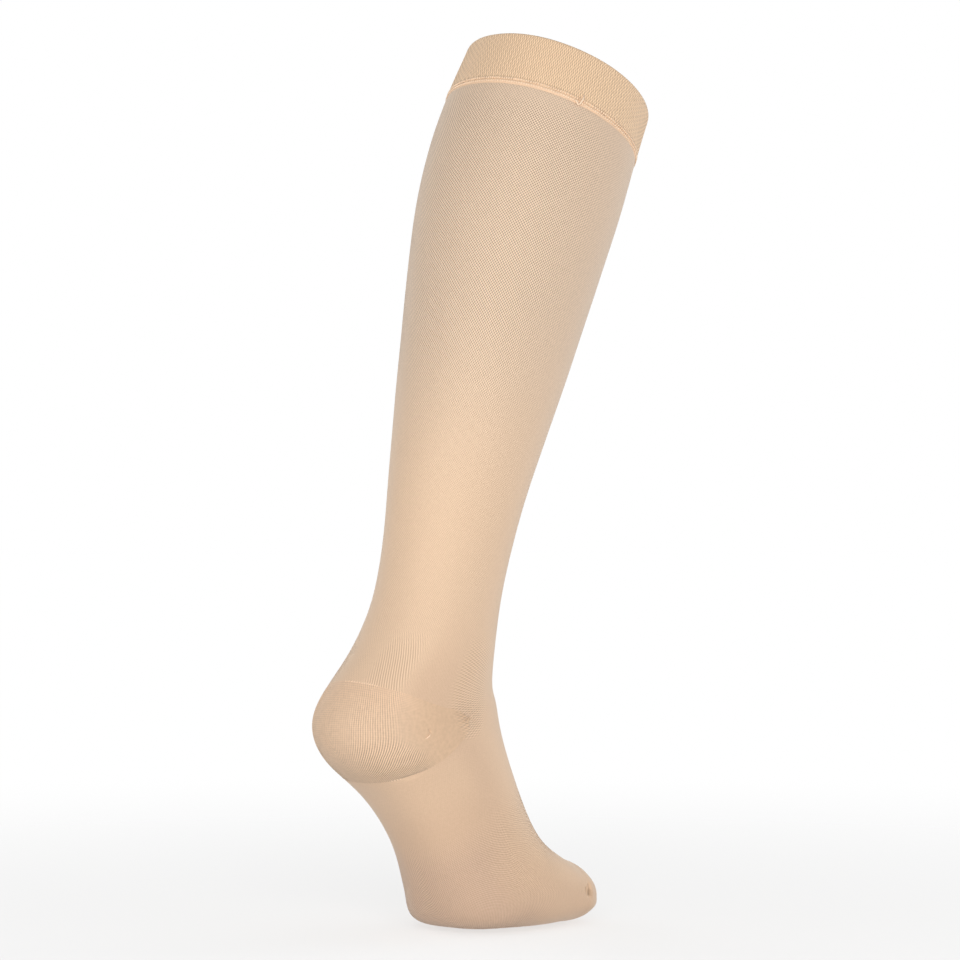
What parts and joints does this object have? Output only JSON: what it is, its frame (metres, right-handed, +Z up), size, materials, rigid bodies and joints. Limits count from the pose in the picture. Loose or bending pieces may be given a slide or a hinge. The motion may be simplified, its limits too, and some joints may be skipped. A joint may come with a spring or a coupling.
{
  "type": "compression stocking",
  "caption": "Below-knee compression stocking with a closed toe, a double elastic top band and a turned heel pocket, held in its worn shape on tiptoe.",
  "frame": {"origin": "The middle of the band's opening at the top of the stocking, where the leg goes in and holds it up.", "axes": "+Z is up with the wearer on tiptoe, -Y is towards the toes, +Y towards the heel, and X runs from side to side. The stocking leans forward at the top, as the lower leg does."},
  "size_m": [0.1142, 0.24, 0.5103],
  "materials": {
    "stocking_knit": "sheer beige compression knit with a fine dark mesh between the stitches, matt with a faint sheen",
    "heel_knit": "denser beige knit with fine upright wales, matt",
    "band_knit": "double-layer elastic knit with fine wales across the band, matt",
    "seam_thread": "pale twisted linking thread"
  },
  "bodies": {
    "root": {"top_band": "band_knit", "band_seam": "seam_thread", "leg": "stocking_knit", "heel": "heel_knit", "foot": "stocking_knit", "toe_seam": "seam_thread"}
  },
  "joints": []
}
